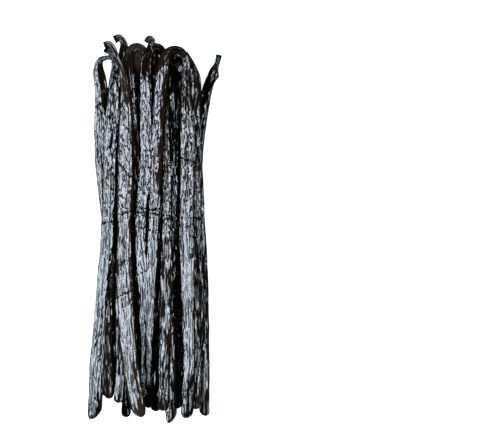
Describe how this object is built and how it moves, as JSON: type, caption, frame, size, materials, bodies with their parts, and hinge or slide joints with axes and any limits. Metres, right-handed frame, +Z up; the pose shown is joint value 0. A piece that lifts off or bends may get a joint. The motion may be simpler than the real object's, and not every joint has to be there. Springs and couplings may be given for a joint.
{
  "type": "bundle of vanilla pods",
  "caption": "Loose bundle of long cured vanilla pods lying flat, wrinkled and nearly black, with hooked stem ends at one end and blunt tips at the other.",
  "frame": {"origin": "under the middle of the bundle, at the level of the surface it lies on", "axes": "+Y along the pods towards the hooked stem ends, +Z up, +X to the right with the stem ends up"},
  "size_m": [0.0502, 0.1438, 0.0135],
  "materials": {
    "pod_skin": "oily, finely wrinkled cured pod skin, nearly black brown with bluish highlights"
  },
  "bodies": {
    "root": {"vanilla_pods": "pod_skin"}
  },
  "joints": []
}
